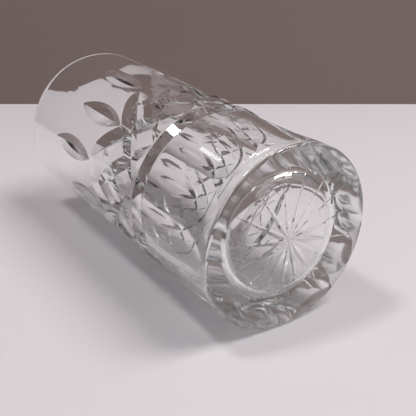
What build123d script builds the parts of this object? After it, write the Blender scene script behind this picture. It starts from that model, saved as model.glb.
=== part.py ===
"""Tall cut-glass tumbler, blown, cut and polished as one piece of clear glass.

The glass stands upright on its resting ring. The origin is the centre of the
underside, +Z runs up the axis of the glass, and every length is in millimetres.
Cutting wheels shape the outside. The leaves and mitres are bent V-shaped bars
taken away from the wall, the ring is a V groove, and the flats below it run out
in a curve just above the heel. The star is one shallow pyramid with many rays.
"""
from build123d import *
import os
from math import asin, atan2, cos, degrees, radians, sin, sqrt, tan

# Overall size
HEIGHT = 152.0
HEEL_RADIUS = 33.5
RIM_RADIUS = 36.9
TAPER = degrees(atan2(RIM_RADIUS - HEEL_RADIUS, HEIGHT))

# Heel, underside and rim
HEEL_ROUND = 1.2
REST_INNER_RADIUS = 29.0
UNDERSIDE_HOLLOW = 0.3
RIM_WALL = 2.0

# Floor of the inside, its rounding, and the well that widens above it
FLOOR_HEIGHT = 5.0
FLOOR_ROUND = 8.0
WELL_RADIUS = 24.3
WELL_LEAN = 13.0

# Inside wall from the well to the rim: radius, height, and how fast it widens there
WALL_STATIONS = (
    (29.8, 36.0, 0.18),
    (31.0, 75.0, 0.04),
    (32.6, 104.0, 0.055),
    (33.95, 126.0, 0.04),
    (RIM_RADIUS - RIM_WALL, HEIGHT, 0.03),
)

# Ring cut around the glass, above the flats
RING_HEIGHT = 44.0
RING_DEPTH = 1.75
RING_HALF_WIDTH = 3.75

# Upright flats from the ring cut down to the heel, meeting in ridges below the leaves
FLAT_COUNT = 12
FLAT_DEPTH = 1.2
FLAT_FOOT = 2.0
FLAT_WHEEL_RADIUS = 73.0

# Upright leaf cuts, high and low in turn
LEAF_PAIRS = 6
LEAF_DEPTH = 1.8
LEAF_HALF_LENGTH = 18.0
LEAF_HALF_ANGLE = 72.0
HIGH_LEAF_HEIGHT = 104.0
LOW_LEAF_HEIGHT = 92.0

# Slanting mitre cuts that cross each other and leave diamonds between them
MITRE_SLOPE = 47.0
MITRE_HALF_ANGLE = 67.0
LONG_MITRE_HEIGHT = 67.0
LONG_MITRE_DEPTH = 1.75
LONG_MITRE_HALF_LENGTH = 25.5
SHORT_MITRE_HEIGHT = 62.2
SHORT_MITRE_DEPTH = 1.4
SHORT_MITRE_HALF_LENGTH = 20.0
SHORT_MITRE_TURN = 7.5

# Star cut into the underside, deepest at its centre
STAR_RAYS = 16
STAR_RADIUS = 28.6
STAR_WAIST_RADIUS = 6.5
STAR_DEPTH = 0.6

# How far a cutting bar stands clear of the surface that it cuts
CLEARANCE = 1.5


def outer_radius(height):
    """Radius of the uncut outer wall at a height."""
    return HEEL_RADIUS + (RIM_RADIUS - HEEL_RADIUS) * height / HEIGHT


def blank():
    """The uncut glass, turned from one outline of its wall and thick base."""
    floor_edge = WELL_RADIUS - FLOOR_ROUND * cos(radians(WELL_LEAN))
    well_foot = FLOOR_HEIGHT + FLOOR_ROUND * (1 - sin(radians(WELL_LEAN)))
    inner_wall = [(WELL_RADIUS, well_foot, tan(radians(WELL_LEAN))), *WALL_STATIONS]
    inner_wall.reverse()
    hollow_radius = (REST_INNER_RADIUS**2 + UNDERSIDE_HOLLOW**2) / (2 * UNDERSIDE_HOLLOW)
    with BuildSketch(Plane.XZ) as outline:
        with BuildLine():
            RadiusArc((0, UNDERSIDE_HOLLOW), (REST_INNER_RADIUS, 0), hollow_radius)
            Polyline(
                (REST_INNER_RADIUS, 0),
                (HEEL_RADIUS, 0),
                (RIM_RADIUS, HEIGHT),
                (RIM_RADIUS - RIM_WALL, HEIGHT),
            )
            Spline(
                *[(radius, height) for radius, height, lean in inner_wall],
                tangents=[(-lean, -1) for radius, height, lean in inner_wall],
            )
            RadiusArc((WELL_RADIUS, well_foot), (floor_edge, FLOOR_HEIGHT), FLOOR_ROUND)
            Polyline((floor_edge, FLOOR_HEIGHT), (0, FLOOR_HEIGHT), (0, UNDERSIDE_HOLLOW))
        make_face()
        heel = [v for v in outline.vertices() if v.X > HEEL_RADIUS - 0.1 and v.Y < 1]
        fillet(heel, HEEL_ROUND)
        rim = [v for v in outline.vertices() if v.Y > HEIGHT - 0.1]
        fillet(rim, 0.45 * RIM_WALL)
    return revolve(outline.sketch, Axis.Z)


def v_bar(depth, half_angle, half_length, arc_radius, wraps):
    """A V-section bar bent to an arc, with its edge sunk by depth at the middle.

    X points out of the glass, Y lies across the cut and Z runs along it. The arc
    bends away from the glass, as a wheel does, or wraps round the glass.
    """
    half_width = (depth + CLEARANCE) * tan(radians(half_angle))
    section = make_face(
        Polyline((-depth, 0), (CLEARANCE, half_width), (CLEARANCE, -half_width), close=True)
    )
    centre = -depth - arc_radius if wraps else -depth + arc_radius
    axis = Axis((centre, 0, 0), (0, 1, 0))
    half_arc = degrees(asin(half_length / arc_radius)) + 3
    bar = revolve(section, axis, revolution_arc=2 * half_arc)
    return bar.rotate(axis, -half_arc)


def on_wall(bar, turn, height, slant=0.0):
    """Place a bar on the outer wall, turned by slant away from upright."""
    place = Pos(outer_radius(height), 0, height) * Rot(Y=TAPER) * Rot(X=slant)
    return Rot(Z=turn) * place * bar


def leaf_cuts():
    """Upright leaf cuts: the high ones alternate with the low ones."""
    wheel_radius = LEAF_HALF_LENGTH**2 / (2 * LEAF_DEPTH)
    bar = v_bar(LEAF_DEPTH, LEAF_HALF_ANGLE, LEAF_HALF_LENGTH, wheel_radius, wraps=False)
    pitch = 360 / LEAF_PAIRS
    high = [on_wall(bar, pitch * i, HIGH_LEAF_HEIGHT) for i in range(LEAF_PAIRS)]
    low = [on_wall(bar, pitch * (i + 0.5), LOW_LEAF_HEIGHT) for i in range(LEAF_PAIRS)]
    return high + low


def mitre_bar(depth, half_length, height):
    """A V bar that wraps round the wall and runs out of it at both ends."""
    wall = outer_radius(height) / cos(radians(MITRE_SLOPE)) ** 2
    bend = 1 / (1 / wall - 2 * depth / half_length**2)
    return v_bar(depth, MITRE_HALF_ANGLE, half_length, bend, wraps=True)


def mitre_cuts():
    """Long and short mitres, each leaning both ways, that cross in diamonds."""
    long_bar = mitre_bar(LONG_MITRE_DEPTH, LONG_MITRE_HALF_LENGTH, LONG_MITRE_HEIGHT)
    short_bar = mitre_bar(SHORT_MITRE_DEPTH, SHORT_MITRE_HALF_LENGTH, SHORT_MITRE_HEIGHT)
    pitch = 360 / LEAF_PAIRS
    lean = 90 - MITRE_SLOPE
    cuts = []
    for i in range(LEAF_PAIRS):
        for side in (-1, 1):
            low_turn = pitch * (i + 0.5)
            high_turn = pitch * i - side * SHORT_MITRE_TURN
            cuts.append(on_wall(long_bar, low_turn, LONG_MITRE_HEIGHT, -side * lean))
            cuts.append(on_wall(short_bar, high_turn, SHORT_MITRE_HEIGHT, -side * lean))
    return cuts


def ring_cut():
    """One V cut all the way round the glass."""
    edge = outer_radius(RING_HEIGHT)
    reach = 2.0
    spread = RING_HALF_WIDTH * (1 + reach / RING_DEPTH)
    section = Plane.XZ * make_face(
        Polyline(
            (edge - RING_DEPTH, RING_HEIGHT),
            (edge + reach, RING_HEIGHT + spread),
            (edge + reach, RING_HEIGHT - spread),
            close=True,
        )
    )
    return revolve(section, Axis.Z)


def flat_cuts():
    """Broad flats that meet in ridges and run out in a wheel's curve above the heel."""
    half_width = 1.2 * RIM_RADIUS * tan(radians(180 / FLAT_COUNT))
    centre = FLAT_WHEEL_RADIUS - FLAT_DEPTH
    foot = FLAT_FOOT - RING_HEIGHT
    run_out = sqrt(FLAT_WHEEL_RADIUS**2 - centre**2)
    clear_of_wall = sqrt(FLAT_WHEEL_RADIUS**2 - (centre - CLEARANCE) ** 2)
    with BuildSketch(Plane.XZ) as section:
        with BuildLine():
            Polyline(
                (CLEARANCE, foot + run_out - clear_of_wall),
                (CLEARANCE, 0),
                (-FLAT_DEPTH, 0),
                (-FLAT_DEPTH, foot + run_out),
            )
            RadiusArc(
                (-FLAT_DEPTH, foot + run_out),
                (CLEARANCE, foot + run_out - clear_of_wall),
                -FLAT_WHEEL_RADIUS,
            )
        make_face()
    bar = extrude(section.sketch, half_width, both=True)
    pitch = 360 / FLAT_COUNT
    return [on_wall(bar, pitch * (i + 0.5), RING_HEIGHT) for i in range(FLAT_COUNT)]


def star_cut():
    """The star as one pyramid: its apex is deepest and its rays end at the resting ring."""
    apex = UNDERSIDE_HOLLOW + STAR_DEPTH
    waist_level = UNDERSIDE_HOLLOW * (1 - (STAR_WAIST_RADIUS / REST_INNER_RADIUS) ** 2)
    foot = apex + CLEARANCE
    tip = STAR_RADIUS * foot / apex
    waist = STAR_WAIST_RADIUS * foot / (apex - waist_level)
    half_pitch = 180 / STAR_RAYS
    corners = []
    for i in range(STAR_RAYS):
        turn = radians(half_pitch * (2 * i + 1))
        between = turn + radians(half_pitch)
        corners.append((tip * cos(turn), tip * sin(turn)))
        corners.append((waist * cos(between), waist * sin(between)))
    outline = Pos(0, 0, -CLEARANCE) * make_face(Polyline(*corners, close=True))
    return loft([outline, Vertex(0, 0, apex)], ruled=True)


def tumbler():
    """The finished glass."""
    glass = blank() - ring_cut() - star_cut()
    for cut in flat_cuts() + leaf_cuts() + mitre_cuts():
        glass = glass - cut
    return glass


os.makedirs("parts", exist_ok=True)
export_step(tumbler(), "parts/tumbler.step")
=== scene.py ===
"""Looks of the tall cut-glass tumbler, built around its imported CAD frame.

The glass is turned and cut again here at a fine resolution, with the same
dimensions as the CAD part, so that light bends smoothly through it. Lengths are
in metres. The glass stands upright along +Z, as in the frame, and the studio is
turned about it: its floor touches the side of the glass, as if the glass had
been laid down, and the camera looks at the underside.
"""

from math import acos, asin, atan2, cos, pi, radians, sin, sqrt, tan

import bmesh
import bpy
from mathutils import Matrix, Vector


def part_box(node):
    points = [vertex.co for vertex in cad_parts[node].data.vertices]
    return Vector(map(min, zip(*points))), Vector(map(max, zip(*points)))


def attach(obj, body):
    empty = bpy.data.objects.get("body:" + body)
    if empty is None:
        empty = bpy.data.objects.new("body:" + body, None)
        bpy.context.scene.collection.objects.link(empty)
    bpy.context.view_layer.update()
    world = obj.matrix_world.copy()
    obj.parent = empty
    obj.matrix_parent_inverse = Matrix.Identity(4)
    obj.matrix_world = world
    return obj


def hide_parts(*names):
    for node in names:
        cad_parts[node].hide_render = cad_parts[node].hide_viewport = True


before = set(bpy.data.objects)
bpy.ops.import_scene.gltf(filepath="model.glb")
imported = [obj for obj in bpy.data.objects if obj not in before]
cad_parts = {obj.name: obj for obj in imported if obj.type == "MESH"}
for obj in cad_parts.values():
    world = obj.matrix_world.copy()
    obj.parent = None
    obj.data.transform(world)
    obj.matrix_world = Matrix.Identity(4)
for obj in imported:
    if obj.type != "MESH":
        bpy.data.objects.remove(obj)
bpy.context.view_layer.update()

MM = 0.001

# Overall size, from the frame
glass_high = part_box("tumbler")[1]
HEIGHT = glass_high.z
RIM_RADIUS = glass_high.x
HEEL_RADIUS = RIM_RADIUS - 3.4 * MM
TAPER = atan2(RIM_RADIUS - HEEL_RADIUS, HEIGHT)

# Heel, underside and rim
HEEL_ROUND = 1.2 * MM
REST_INNER_RADIUS = 29.0 * MM
UNDERSIDE_HOLLOW = 0.3 * MM
RIM_WALL = 2.0 * MM
RIM_ROUND = 0.45 * RIM_WALL

# Inside of the glass, up the wall: height, radius and how fast it widens there
FLOOR_HEIGHT = 5.0 * MM
FLOOR_ROUND = 8.0 * MM
WELL_LEAN = radians(13)
WELL_TOP = FLOOR_HEIGHT + FLOOR_ROUND * (1 - sin(WELL_LEAN))
WALL_STATIONS = (
    (WELL_TOP, 24.3 * MM, tan(WELL_LEAN)),
    (36.0 * MM, 29.8 * MM, 0.18),
    (75.0 * MM, 31.0 * MM, 0.04),
    (104.0 * MM, 32.6 * MM, 0.055),
    (126.0 * MM, 33.95 * MM, 0.04),
    (HEIGHT, RIM_RADIUS - RIM_WALL, 0.03),
)

# Ring cut, and the upright flats below it, whose ridges stand under the leaves
RING_HEIGHT = 44.0 * MM
RING_DEPTH = 1.75 * MM
RING_HALF_WIDTH = 3.75 * MM
FLAT_COUNT = 12
FLAT_DEPTH = 1.2 * MM
FLAT_FOOT = 2.0 * MM
FLAT_WHEEL_RADIUS = 73.0 * MM

# Upright leaf cuts, high and low in turn
LEAF_PAIRS = 6
LEAF_DEPTH = 1.8 * MM
LEAF_HALF_LENGTH = 18.0 * MM
LEAF_HALF_ANGLE = radians(72)
HIGH_LEAF_HEIGHT = 104.0 * MM
LOW_LEAF_HEIGHT = 92.0 * MM

# Slanting mitre cuts
MITRE_SLOPE = radians(47)
MITRE_HALF_ANGLE = radians(67)
LONG_MITRE_HEIGHT = 67.0 * MM
LONG_MITRE_DEPTH = 1.75 * MM
LONG_MITRE_HALF_LENGTH = 25.5 * MM
SHORT_MITRE_HEIGHT = 62.2 * MM
SHORT_MITRE_DEPTH = 1.4 * MM
SHORT_MITRE_HALF_LENGTH = 20.0 * MM
SHORT_MITRE_TURN = radians(7.5)

# Star cut into the underside
STAR_RAYS = 16
STAR_RADIUS = 28.6 * MM
STAR_WAIST_RADIUS = 6.5 * MM
STAR_DEPTH = 0.6 * MM

CLEARANCE = 1.5 * MM

# Fineness of the mesh
TURN_STEPS = 360
CUT_STEPS = 32
SHARP_ANGLE = radians(5.5)
WELD = 0.01 * MM

# Clear crystal: how it bends light, and the faint tint of its thick parts
GLASS_IOR = 1.54
GLASS_TINT = (0.80, 0.93, 0.90, 1.0)
GLASS_TINT_DENSITY = 5.0

# Fine relief of the surface: height from trough to crest, and noise cells in a metre
BLOWN_WAVES = 0.03 * MM
WAVES_PER_METRE = 55.0
WHEEL_STREAKS = 0.012 * MM
STREAKS_PER_METRE = 900.0
STREAK_STRETCH = (1.0, 1.0, 0.02)
POLISH_MARKS = 0.0006 * MM
MARKS_PER_METRE = 1400.0

# Roughness: smears from handling, and the scratches of the resting ring
SMEARS_PER_METRE = 120.0
SMEAR_ROUGHNESS = 0.05
SCRATCHES_PER_METRE = 2500.0
RING_ROUGHNESS = (0.04, 0.22)

# Where the streaks and the scratches are: the start and the end of each fade
OUTSIDE_FADE = (31.0 * MM, 31.5 * MM)
FLATS_TOP_FADE = (40.0 * MM, 41.0 * MM)
RING_FADE = (0.02 * MM, 0.2 * MM)

# The studio: which side of the glass lies on the floor, and where the camera stands
FLOOR_SIDE = radians(136.5)
HEADING = radians(122.69)
CAMERA_LENS = 51.66
SENSOR_WIDTH = 36.0
CAMERA_PITCH = radians(23.63)
CAMERA_HEIGHT = 122.2 * MM
CAMERA_BACK = 178.0 * MM
CAMERA_LEFT = 25.9 * MM
TOUCH_HEIGHT = 2.0 * MM
WALL_DISTANCE = 499.0 * MM
WALL_HEIGHT = 3.0
STUDIO_REACH = 2.0
FLOOR_COLOUR = (0.64, 0.60, 0.62)
FLOOR_ROUGHNESS = 0.6
WALL_COLOUR = (0.22, 0.165, 0.15)
WALL_ROUGHNESS = 0.8

# Lights: size, power, turn to the right of forward and rise above the floor, distance
LAMPS = (
    ("overhead_lamp", (0.18, 0.13), 3.5, radians(-102), radians(70), 1.1),
    ("window", (0.6, 0.5), 10.0, radians(100), radians(60), 1.2),
)
ROOM_AT_FLOOR = (0.05, 0.05, 0.05, 1.0)
ROOM_OVERHEAD = (0.46, 0.46, 0.49, 1.0)
ROOM_OVERHEAD_RISE = 0.9


def outer_radius(height):
    """Radius of the uncut outer wall at a height."""
    return HEEL_RADIUS + (RIM_RADIUS - HEEL_RADIUS) * height / HEIGHT


# ---------------------------------------------------------------- outline

def arc_points(centre, radius, start, end, steps):
    """Points on an arc in the (radius, height) plane, both ends included."""
    angles = [start + (end - start) * i / steps for i in range(steps + 1)]
    return [(centre[0] + radius * cos(t), centre[1] + radius * sin(t)) for t in angles]


def rounded_corner(before, corner, after, radius, steps):
    """The arc that rounds a corner between two straight lines."""
    here = Vector(corner)
    back = (Vector(before) - here).normalized()
    ahead = (Vector(after) - here).normalized()
    half = back.angle(ahead) / 2
    centre = here + (back + ahead).normalized() * (radius / sin(half))
    first = here + back * (radius / tan(half)) - centre
    last = here + ahead * (radius / tan(half)) - centre
    start = atan2(first.y, first.x)
    turn = atan2(first.cross(last), first.dot(last))
    return arc_points(centre, radius, start, start + turn, steps)


def inner_wall(steps):
    """The inside wall from the floor's rounding to the rim, eased through its stations."""
    points = []
    for (z0, r0, lean0), (z1, r1, lean1) in zip(WALL_STATIONS, WALL_STATIONS[1:]):
        span = z1 - z0
        for i in range(steps):
            t = i / steps
            rise = 3 * t**2 - 2 * t**3
            ease_in = t * (1 - t) ** 2
            ease_out = -(t**2) * (1 - t)
            radius = r0 + (r1 - r0) * rise + span * (lean0 * ease_in + lean1 * ease_out)
            points.append((radius, z0 + span * t))
    return points


def glass_outline():
    """The uncut glass: underside, heel, outer wall, rim, inner wall and floor."""
    hollow = (REST_INNER_RADIUS**2 + UNDERSIDE_HOLLOW**2) / (2 * UNDERSIDE_HOLLOW)
    hollow_centre = (0.0, UNDERSIDE_HOLLOW - hollow)
    hollow_end = asin(REST_INNER_RADIUS / hollow)
    underside = arc_points(hollow_centre, hollow, pi / 2, pi / 2 - hollow_end, 10)
    heel_corner = (HEEL_RADIUS, 0.0)
    rim_outer = (RIM_RADIUS, HEIGHT)
    rim_inner = (RIM_RADIUS - RIM_WALL, HEIGHT)
    wall = inner_wall(12)
    floor_edge = WALL_STATIONS[0][1] - FLOOR_ROUND * cos(WELL_LEAN)
    floor_centre = (floor_edge, FLOOR_HEIGHT + FLOOR_ROUND)
    outline = underside
    outline += rounded_corner((0.0, 0.0), heel_corner, rim_outer, HEEL_ROUND, 24)
    outline += rounded_corner(heel_corner, rim_outer, rim_inner, RIM_ROUND, 10)
    outline += rounded_corner(rim_outer, rim_inner, wall[-1], RIM_ROUND, 10)
    outline += [p for p in reversed(wall) if p[1] < HEIGHT - RIM_WALL][:-1]
    outline += arc_points(floor_centre, FLOOR_ROUND, -WELL_LEAN, -pi / 2, 20)
    outline += [(floor_edge * (1 - i / 6), FLOOR_HEIGHT) for i in range(1, 7)]
    return outline


# ---------------------------------------------------------------- meshes

def mesh_object(name, bm):
    """A new object from a bmesh, with its normals turned outwards."""
    bmesh.ops.recalc_face_normals(bm, faces=bm.faces)
    mesh = bpy.data.meshes.new(name)
    bm.to_mesh(mesh)
    bm.free()
    obj = bpy.data.objects.new(name, mesh)
    bpy.context.scene.collection.objects.link(obj)
    return obj


def turned(outline, steps, closed=False):
    """A bmesh turned about Z from an outline that starts and ends on the axis, or is closed."""
    bm = bmesh.new()
    rings = []
    for radius, height in outline:
        if radius < WELD:
            rings.append([bm.verts.new((0.0, 0.0, height))] * steps)
            continue
        turns = [2 * pi * i / steps for i in range(steps)]
        rings.append([bm.verts.new((radius * cos(t), radius * sin(t), height)) for t in turns])
    pairs = list(zip(rings, rings[1:]))
    if closed:
        pairs.append((rings[-1], rings[0]))
    for low, high in pairs:
        for i in range(steps):
            j = (i + 1) % steps
            corners = [low[i], low[j], high[j], high[i]]
            bm.faces.new(list(dict.fromkeys(corners)))
    return bm


def v_bar(depth, half_angle, half_length, bend, wraps):
    """A V-section bar bent to an arc, with its edge sunk by depth at the middle.

    X points out of the glass, Y lies across the cut and Z runs along it. The arc
    bends away from the glass, as a wheel does, or wraps round the glass.
    """
    half_width = (depth + CLEARANCE) * tan(half_angle)
    section = [(-depth, 0.0), (CLEARANCE, half_width), (CLEARANCE, -half_width)]
    centre = -depth - bend if wraps else -depth + bend
    half_arc = asin(half_length / bend) + radians(3)
    bm = bmesh.new()
    rings = []
    for i in range(CUT_STEPS + 1):
        t = half_arc * (2 * i / CUT_STEPS - 1)
        spots = [(centre + (x - centre) * cos(t), y, (x - centre) * sin(t)) for x, y in section]
        rings.append([bm.verts.new(p) for p in spots])
    bm.faces.new(rings[0])
    bm.faces.new(rings[-1])
    for low, high in zip(rings, rings[1:]):
        for i in range(3):
            bm.faces.new([low[i], low[i - 1], high[i - 1], high[i]])
    return bm


def on_wall(turn, height, slant=0.0):
    """Where a bar sits on the outer wall, turned by slant away from upright."""
    place = Matrix.Translation((outer_radius(height), 0.0, height))
    lean = Matrix.Rotation(TAPER, 4, "Y") @ Matrix.Rotation(slant, 4, "X")
    return Matrix.Rotation(turn, 4, "Z") @ place @ lean


def bars(name, make_bar, places):
    """One tool made of copies of a bar, one at each place."""
    tool = bmesh.new()
    for place in places:
        bar = make_bar()
        bmesh.ops.transform(bar, matrix=place, verts=bar.verts)
        copy = bpy.data.meshes.new("bar")
        bar.to_mesh(copy)
        bar.free()
        tool.from_mesh(copy)
        bpy.data.meshes.remove(copy)
    return mesh_object(name, tool)


def leaf_tools():
    """Two tools: the high leaves and the low ones between them."""
    wheel = LEAF_HALF_LENGTH**2 / (2 * LEAF_DEPTH)
    pitch = 2 * pi / LEAF_PAIRS

    def leaf():
        return v_bar(LEAF_DEPTH, LEAF_HALF_ANGLE, LEAF_HALF_LENGTH, wheel, wraps=False)

    high = [on_wall(pitch * i, HIGH_LEAF_HEIGHT) for i in range(LEAF_PAIRS)]
    low = [on_wall(pitch * (i + 0.5), LOW_LEAF_HEIGHT) for i in range(LEAF_PAIRS)]
    return [bars("high_leaves", leaf, high), bars("low_leaves", leaf, low)]


def mitre_tools():
    """Four tools: long and short mitres, leaning each way."""
    pitch = 2 * pi / LEAF_PAIRS
    tools = []
    for side in (-1, 1):
        lean = -side * (pi / 2 - MITRE_SLOPE)
        short_start = -side * SHORT_MITRE_TURN
        kinds = (
            ("long", LONG_MITRE_DEPTH, LONG_MITRE_HALF_LENGTH, LONG_MITRE_HEIGHT, pitch / 2),
            ("short", SHORT_MITRE_DEPTH, SHORT_MITRE_HALF_LENGTH, SHORT_MITRE_HEIGHT, short_start),
        )
        for kind, depth, half_length, height, start in kinds:
            wall = outer_radius(height) / cos(MITRE_SLOPE) ** 2
            bend = 1 / (1 / wall - 2 * depth / half_length**2)

            def mitre():
                return v_bar(depth, MITRE_HALF_ANGLE, half_length, bend, wraps=True)

            places = [on_wall(start + pitch * i, height, lean) for i in range(LEAF_PAIRS)]
            tools.append(bars(f"{kind}_mitres", mitre, places))
    return tools


def ring_tool():
    """One V groove all the way round the glass."""
    edge = outer_radius(RING_HEIGHT)
    reach = 2.0 * MM
    spread = RING_HALF_WIDTH * (1 + reach / RING_DEPTH)
    section = [
        (edge - RING_DEPTH, RING_HEIGHT),
        (edge + reach, RING_HEIGHT + spread),
        (edge + reach, RING_HEIGHT - spread),
    ]
    return mesh_object("ring", turned(section, TURN_STEPS, closed=True))


def flat_bar():
    """A flat-faced bar whose foot curves out of the glass, as the cutting wheel does."""
    half_width = 1.2 * RIM_RADIUS * tan(pi / FLAT_COUNT)
    centre = FLAT_WHEEL_RADIUS - FLAT_DEPTH
    level = FLAT_FOOT - RING_HEIGHT + sqrt(FLAT_WHEEL_RADIUS**2 - centre**2)
    end = pi + acos((centre - CLEARANCE) / FLAT_WHEEL_RADIUS)
    section = [(CLEARANCE, 0.0), (-FLAT_DEPTH, 0.0)]
    section += arc_points((centre, level), FLAT_WHEEL_RADIUS, pi, end, CUT_STEPS)
    bm = bmesh.new()
    sides = [[bm.verts.new((x, y, z)) for x, z in section] for y in (-half_width, half_width)]
    for side in sides:
        bm.faces.new(side)
    for i in range(len(section)):
        bm.faces.new([sides[0][i], sides[0][i - 1], sides[1][i - 1], sides[1][i]])
    return bm


def flat_tools():
    """Two tools, each with every other flat, so that the bars of a tool stay apart."""
    pitch = 2 * pi / FLAT_COUNT
    tools = []
    for first in (0, 1):
        turns = [pitch * (i + 0.5) for i in range(first, FLAT_COUNT, 2)]
        places = [on_wall(turn, RING_HEIGHT) for turn in turns]
        tools.append(bars("flats", flat_bar, places))
    return tools


def star_tool():
    """The star as one pyramid: its apex is deepest and its rays end at the resting ring."""
    apex = UNDERSIDE_HOLLOW + STAR_DEPTH
    waist_level = UNDERSIDE_HOLLOW * (1 - (STAR_WAIST_RADIUS / REST_INNER_RADIUS) ** 2)
    foot = apex + CLEARANCE
    tip = STAR_RADIUS * foot / apex
    waist = STAR_WAIST_RADIUS * foot / (apex - waist_level)
    bm = bmesh.new()
    corners = []
    for i in range(2 * STAR_RAYS):
        turn = pi * (i + 1) / STAR_RAYS
        radius = waist if i % 2 else tip
        corners.append(bm.verts.new((radius * cos(turn), radius * sin(turn), -CLEARANCE)))
    top = bm.verts.new((0.0, 0.0, apex))
    bm.faces.new(corners)
    for a, b in zip(corners, corners[1:] + corners[:1]):
        bm.faces.new([a, b, top])
    return mesh_object("star", bm)


def cut(glass, tool):
    """Take a tool away from the glass, and throw the tool away."""
    step = glass.modifiers.new("cut", "BOOLEAN")
    step.operation = "DIFFERENCE"
    step.solver = "MANIFOLD"
    step.object = tool
    bpy.context.view_layer.update()
    shaped = bpy.data.meshes.new_from_object(glass.evaluated_get(bpy.context.evaluated_depsgraph_get()))
    glass.modifiers.remove(step)
    old = glass.data
    glass.data = shaped
    bpy.data.meshes.remove(old)
    bpy.data.objects.remove(tool)


def cut_glass():
    """The whole glass as one closed mesh, smooth but for the edges of its cuts."""
    glass = mesh_object("tumbler_glass", turned(glass_outline(), TURN_STEPS))
    for tool in flat_tools() + [ring_tool(), star_tool()] + leaf_tools() + mitre_tools():
        cut(glass, tool)
    bm = bmesh.new()
    bm.from_mesh(glass.data)
    bmesh.ops.remove_doubles(bm, verts=bm.verts, dist=WELD)
    bmesh.ops.dissolve_degenerate(bm, edges=bm.edges, dist=WELD)
    bm.to_mesh(glass.data)
    bm.free()
    glass.data.shade_smooth()
    glass.data.set_sharp_from_angle(angle=SHARP_ANGLE)
    return glass


# ---------------------------------------------------------------- materials

def new_material(name):
    """An empty node material and its output node."""
    material = bpy.data.materials.new(name)
    material.use_nodes = True
    material.node_tree.nodes.clear()
    return material, material.node_tree.nodes.new("ShaderNodeOutputMaterial")


def noise(nodes, links, coordinates, cells_per_metre, detail, stretch=None):
    """Noise over the object's own coordinates, stretched if asked."""
    texture = nodes.new("ShaderNodeTexNoise")
    texture.inputs["Scale"].default_value = cells_per_metre
    texture.inputs["Detail"].default_value = detail
    if stretch is None:
        links.new(coordinates, texture.inputs["Vector"])
        return texture.outputs["Fac"]
    mapping = nodes.new("ShaderNodeMapping")
    mapping.inputs["Scale"].default_value = stretch
    links.new(coordinates, mapping.inputs["Vector"])
    links.new(mapping.outputs["Vector"], texture.inputs["Vector"])
    return texture.outputs["Fac"]


def ranged(nodes, links, value, source, target):
    """The value mapped from one range to another, and held at its ends."""
    step = nodes.new("ShaderNodeMapRange")
    step.inputs["From Min"].default_value, step.inputs["From Max"].default_value = source
    step.inputs["To Min"].default_value, step.inputs["To Max"].default_value = target
    links.new(value, step.inputs["Value"])
    return step.outputs["Result"]


def combined(nodes, links, operation, first, second):
    """Two values put together by a maths operation."""
    step = nodes.new("ShaderNodeMath")
    step.operation = operation
    links.new(first, step.inputs[0])
    links.new(second, step.inputs[1])
    return step.outputs["Value"]


def bumped(nodes, links, relief, distance, before=None):
    """Normals raised by a relief texture, over the normals of a coarser one."""
    bump = nodes.new("ShaderNodeBump")
    bump.inputs["Distance"].default_value = distance
    links.new(relief, bump.inputs["Height"])
    if before is not None:
        links.new(before, bump.inputs["Normal"])
    return bump.outputs["Normal"]


def height_and_radius(nodes, links, coordinates):
    """Height above the underside, and distance from the axis."""
    parts = nodes.new("ShaderNodeSeparateXYZ")
    links.new(coordinates, parts.inputs["Vector"])
    level = nodes.new("ShaderNodeVectorMath")
    level.operation = "MULTIPLY"
    level.inputs[1].default_value = (1.0, 1.0, 0.0)
    links.new(coordinates, level.inputs[0])
    distance = nodes.new("ShaderNodeVectorMath")
    distance.operation = "LENGTH"
    links.new(level.outputs["Vector"], distance.inputs[0])
    return parts.outputs["Z"], distance.outputs["Value"]


def glass_normal(nodes, links, coordinates, height, radius):
    """Waves where the glass was blown, wheel streaks on the flats, polish marks all over."""
    outside = ranged(nodes, links, radius, OUTSIDE_FADE, (0.0, 1.0))
    below_ring = ranged(nodes, links, height, FLATS_TOP_FADE, (1.0, 0.0))
    on_flats = combined(nodes, links, "MULTIPLY", outside, below_ring)
    streaks = noise(nodes, links, coordinates, STREAKS_PER_METRE, 2.0, STREAK_STRETCH)
    streaks = combined(nodes, links, "MULTIPLY", streaks, on_flats)
    waves = noise(nodes, links, coordinates, WAVES_PER_METRE, 1.0)
    marks = noise(nodes, links, coordinates, MARKS_PER_METRE, 2.0)
    normal = bumped(nodes, links, waves, BLOWN_WAVES)
    normal = bumped(nodes, links, streaks, WHEEL_STREAKS, normal)
    return bumped(nodes, links, marks, POLISH_MARKS, normal)


def glass_roughness(nodes, links, coordinates, height):
    """Faint smears all over, and scratches where the glass rests."""
    smears = noise(nodes, links, coordinates, SMEARS_PER_METRE, 3.0)
    handled = ranged(nodes, links, smears, (0.4, 0.75), (0.0, SMEAR_ROUGHNESS))
    on_ring = ranged(nodes, links, height, RING_FADE, (1.0, 0.0))
    scratches = noise(nodes, links, coordinates, SCRATCHES_PER_METRE, 4.0)
    worn = ranged(nodes, links, scratches, (0.35, 0.7), RING_ROUGHNESS)
    worn = combined(nodes, links, "MULTIPLY", worn, on_ring)
    return combined(nodes, links, "MAXIMUM", handled, worn)


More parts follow.
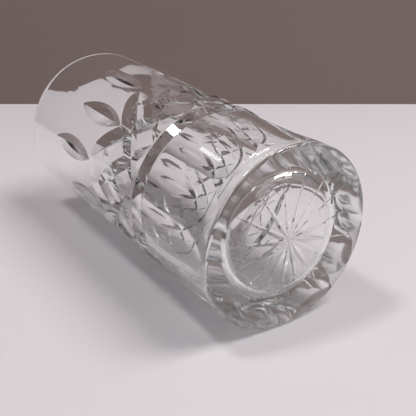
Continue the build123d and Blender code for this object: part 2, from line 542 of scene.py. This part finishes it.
def glass_material():
    """Clear crystal, faintly tinted in its thick parts."""
    material, output = new_material("clear_crystal")
    nodes, links = material.node_tree.nodes, material.node_tree.links
    coordinates = nodes.new("ShaderNodeTexCoord").outputs["Object"]
    height, radius = height_and_radius(nodes, links, coordinates)
    normal = glass_normal(nodes, links, coordinates, height, radius)
    roughness = glass_roughness(nodes, links, coordinates, height)
    shader = nodes.new("ShaderNodeBsdfPrincipled")
    shader.inputs["Base Color"].default_value = (1.0, 1.0, 1.0, 1.0)
    shader.inputs["Transmission Weight"].default_value = 1.0
    shader.inputs["IOR"].default_value = GLASS_IOR
    links.new(roughness, shader.inputs["Roughness"])
    links.new(normal, shader.inputs["Normal"])
    links.new(shader.outputs["BSDF"], output.inputs["Surface"])
    body = nodes.new("ShaderNodeVolumeAbsorption")
    body.inputs["Color"].default_value = GLASS_TINT
    body.inputs["Density"].default_value = GLASS_TINT_DENSITY
    links.new(body.outputs["Volume"], output.inputs["Volume"])
    return material


def one_sided(material, output, shader):
    """Show a stage surface from its front, and let it be seen through from behind."""
    nodes, links = material.node_tree.nodes, material.node_tree.links
    side = nodes.new("ShaderNodeNewGeometry")
    clear = nodes.new("ShaderNodeBsdfTransparent")
    mix = nodes.new("ShaderNodeMixShader")
    links.new(side.outputs["Backfacing"], mix.inputs["Fac"])
    links.new(shader.outputs["BSDF"], mix.inputs[1])
    links.new(clear.outputs["BSDF"], mix.inputs[2])
    links.new(mix.outputs["Shader"], output.inputs["Surface"])


def stage_material(name, colour, roughness):
    """A plain matt surface, seen from its front only."""
    material, output = new_material(name)
    shader = material.node_tree.nodes.new("ShaderNodeBsdfPrincipled")
    shader.inputs["Base Color"].default_value = (*colour, 1.0)
    shader.inputs["Roughness"].default_value = roughness
    one_sided(material, output, shader)
    return material


# ---------------------------------------------------------------- studio

def studio_axes():
    """Right, forward and up in the studio, and the point where the heel touches the floor."""
    up_turn = FLOOR_SIDE + pi
    side = Vector((cos(up_turn), sin(up_turn), 0.0))
    up = side * cos(TAPER) + Vector((0.0, 0.0, sin(TAPER)))
    along = Vector((0.0, 0.0, cos(TAPER))) - side * sin(TAPER)
    across = up.cross(along)
    right = along * cos(HEADING) - across * sin(HEADING)
    forward = along * sin(HEADING) + across * cos(HEADING)
    touch = Vector((0.0, 0.0, TOUCH_HEIGHT)) - side * HEEL_RADIUS
    return right, forward, up, touch


def placed(right, up, back, where):
    """A matrix with these three axes and this place."""
    turn = Matrix((right, up, back)).transposed().to_4x4()
    return Matrix.Translation(where) @ turn


def add_camera(right, forward, up, touch):
    """Stand the camera so that it looks down at the laid glass, and give its place."""
    data = bpy.data.cameras.new("camera")
    data.lens = CAMERA_LENS
    data.sensor_width = SENSOR_WIDTH
    data.clip_start = 0.01
    data.clip_end = 20.0
    camera = bpy.data.objects.new("camera", data)
    bpy.context.scene.collection.objects.link(camera)
    where = touch - right * CAMERA_LEFT - forward * CAMERA_BACK + up * CAMERA_HEIGHT
    look = forward * cos(CAMERA_PITCH) - up * sin(CAMERA_PITCH)
    camera_up = forward * sin(CAMERA_PITCH) + up * cos(CAMERA_PITCH)
    camera.matrix_world = placed(right, camera_up, -look, where)
    bpy.context.scene.camera = camera
    return where


def add_panel(name, corners, material):
    """A flat four-cornered stage surface."""
    mesh = bpy.data.meshes.new(name)
    mesh.from_pydata([tuple(c) for c in corners], [], [(0, 1, 2, 3)])
    mesh.materials.append(material)
    panel = bpy.data.objects.new(name, mesh)
    bpy.context.scene.collection.objects.link(panel)


def add_floor_and_wall(right, forward, up, ground):
    """A pale floor under the laid glass, and a wall across its far end."""
    reach = right * STUDIO_REACH
    near = ground - forward * STUDIO_REACH
    far = ground + forward * WALL_DISTANCE
    top = far + up * WALL_HEIGHT
    floor_material = stage_material("pale_floor", FLOOR_COLOUR, FLOOR_ROUGHNESS)
    wall_material = stage_material("warm_grey_wall", WALL_COLOUR, WALL_ROUGHNESS)
    add_panel("floor", [near - reach, near + reach, far + reach, far - reach], floor_material)
    add_panel("wall", [far - reach, far + reach, top + reach, top - reach], wall_material)


def add_light(name, size, power, direction, distance, target):
    """A soft rectangular light, in a direction from the target and facing it."""
    data = bpy.data.lights.new(name, "AREA")
    data.shape = "RECTANGLE"
    data.size, data.size_y = size
    data.energy = power
    light = bpy.data.objects.new(name, data)
    bpy.context.scene.collection.objects.link(light)
    light.location = target + direction * distance
    light.rotation_mode = "QUATERNION"
    light.rotation_quaternion = direction.to_track_quat("Z", "Y")
    light.visible_camera = False


def add_lamps(right, forward, up):
    """The lights over the glass, all aimed at its middle."""
    middle = Vector((0.0, 0.0, HEIGHT / 2))
    for name, size, power, turn, rise, distance in LAMPS:
        level = forward * cos(turn) + right * sin(turn)
        direction = level * cos(rise) + up * sin(rise)
        add_light(name, size, power, direction, distance, middle)


def add_room_light(up):
    """Soft light from all round, dim at the floor and brightest overhead."""
    world = bpy.data.worlds.new("studio")
    bpy.context.scene.world = world
    world.use_nodes = True
    nodes, links = world.node_tree.nodes, world.node_tree.links
    coordinates = nodes.new("ShaderNodeTexCoord")
    rise = nodes.new("ShaderNodeVectorMath")
    rise.operation = "DOT_PRODUCT"
    rise.inputs[1].default_value = up
    links.new(coordinates.outputs["Generated"], rise.inputs[0])
    ramp = nodes.new("ShaderNodeValToRGB")
    floor_end, overhead_end = ramp.color_ramp.elements
    floor_end.position = 0.0
    floor_end.color = ROOM_AT_FLOOR
    overhead_end.position = ROOM_OVERHEAD_RISE
    overhead_end.color = ROOM_OVERHEAD
    links.new(rise.outputs["Value"], ramp.inputs["Fac"])
    links.new(ramp.outputs["Color"], nodes["Background"].inputs["Color"])


glass = cut_glass()
glass.data.materials.clear()
glass.data.materials.append(glass_material())
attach(glass, "root")
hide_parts("tumbler")

right, forward, up, touch = studio_axes()
eye = add_camera(right, forward, up, touch)
add_floor_and_wall(right, forward, up, eye - up * CAMERA_HEIGHT)
add_lamps(right, forward, up)
add_room_light(up)

scene = bpy.context.scene
scene.view_settings.view_transform = "Standard"
scene.cycles.use_denoising = True
scene.cycles.max_bounces = 32
scene.cycles.transmission_bounces = 32
scene.cycles.glossy_bounces = 16
scene.cycles.diffuse_bounces = 4
scene.cycles.transparent_max_bounces = 16
scene.cycles.sample_clamp_indirect = 8.0
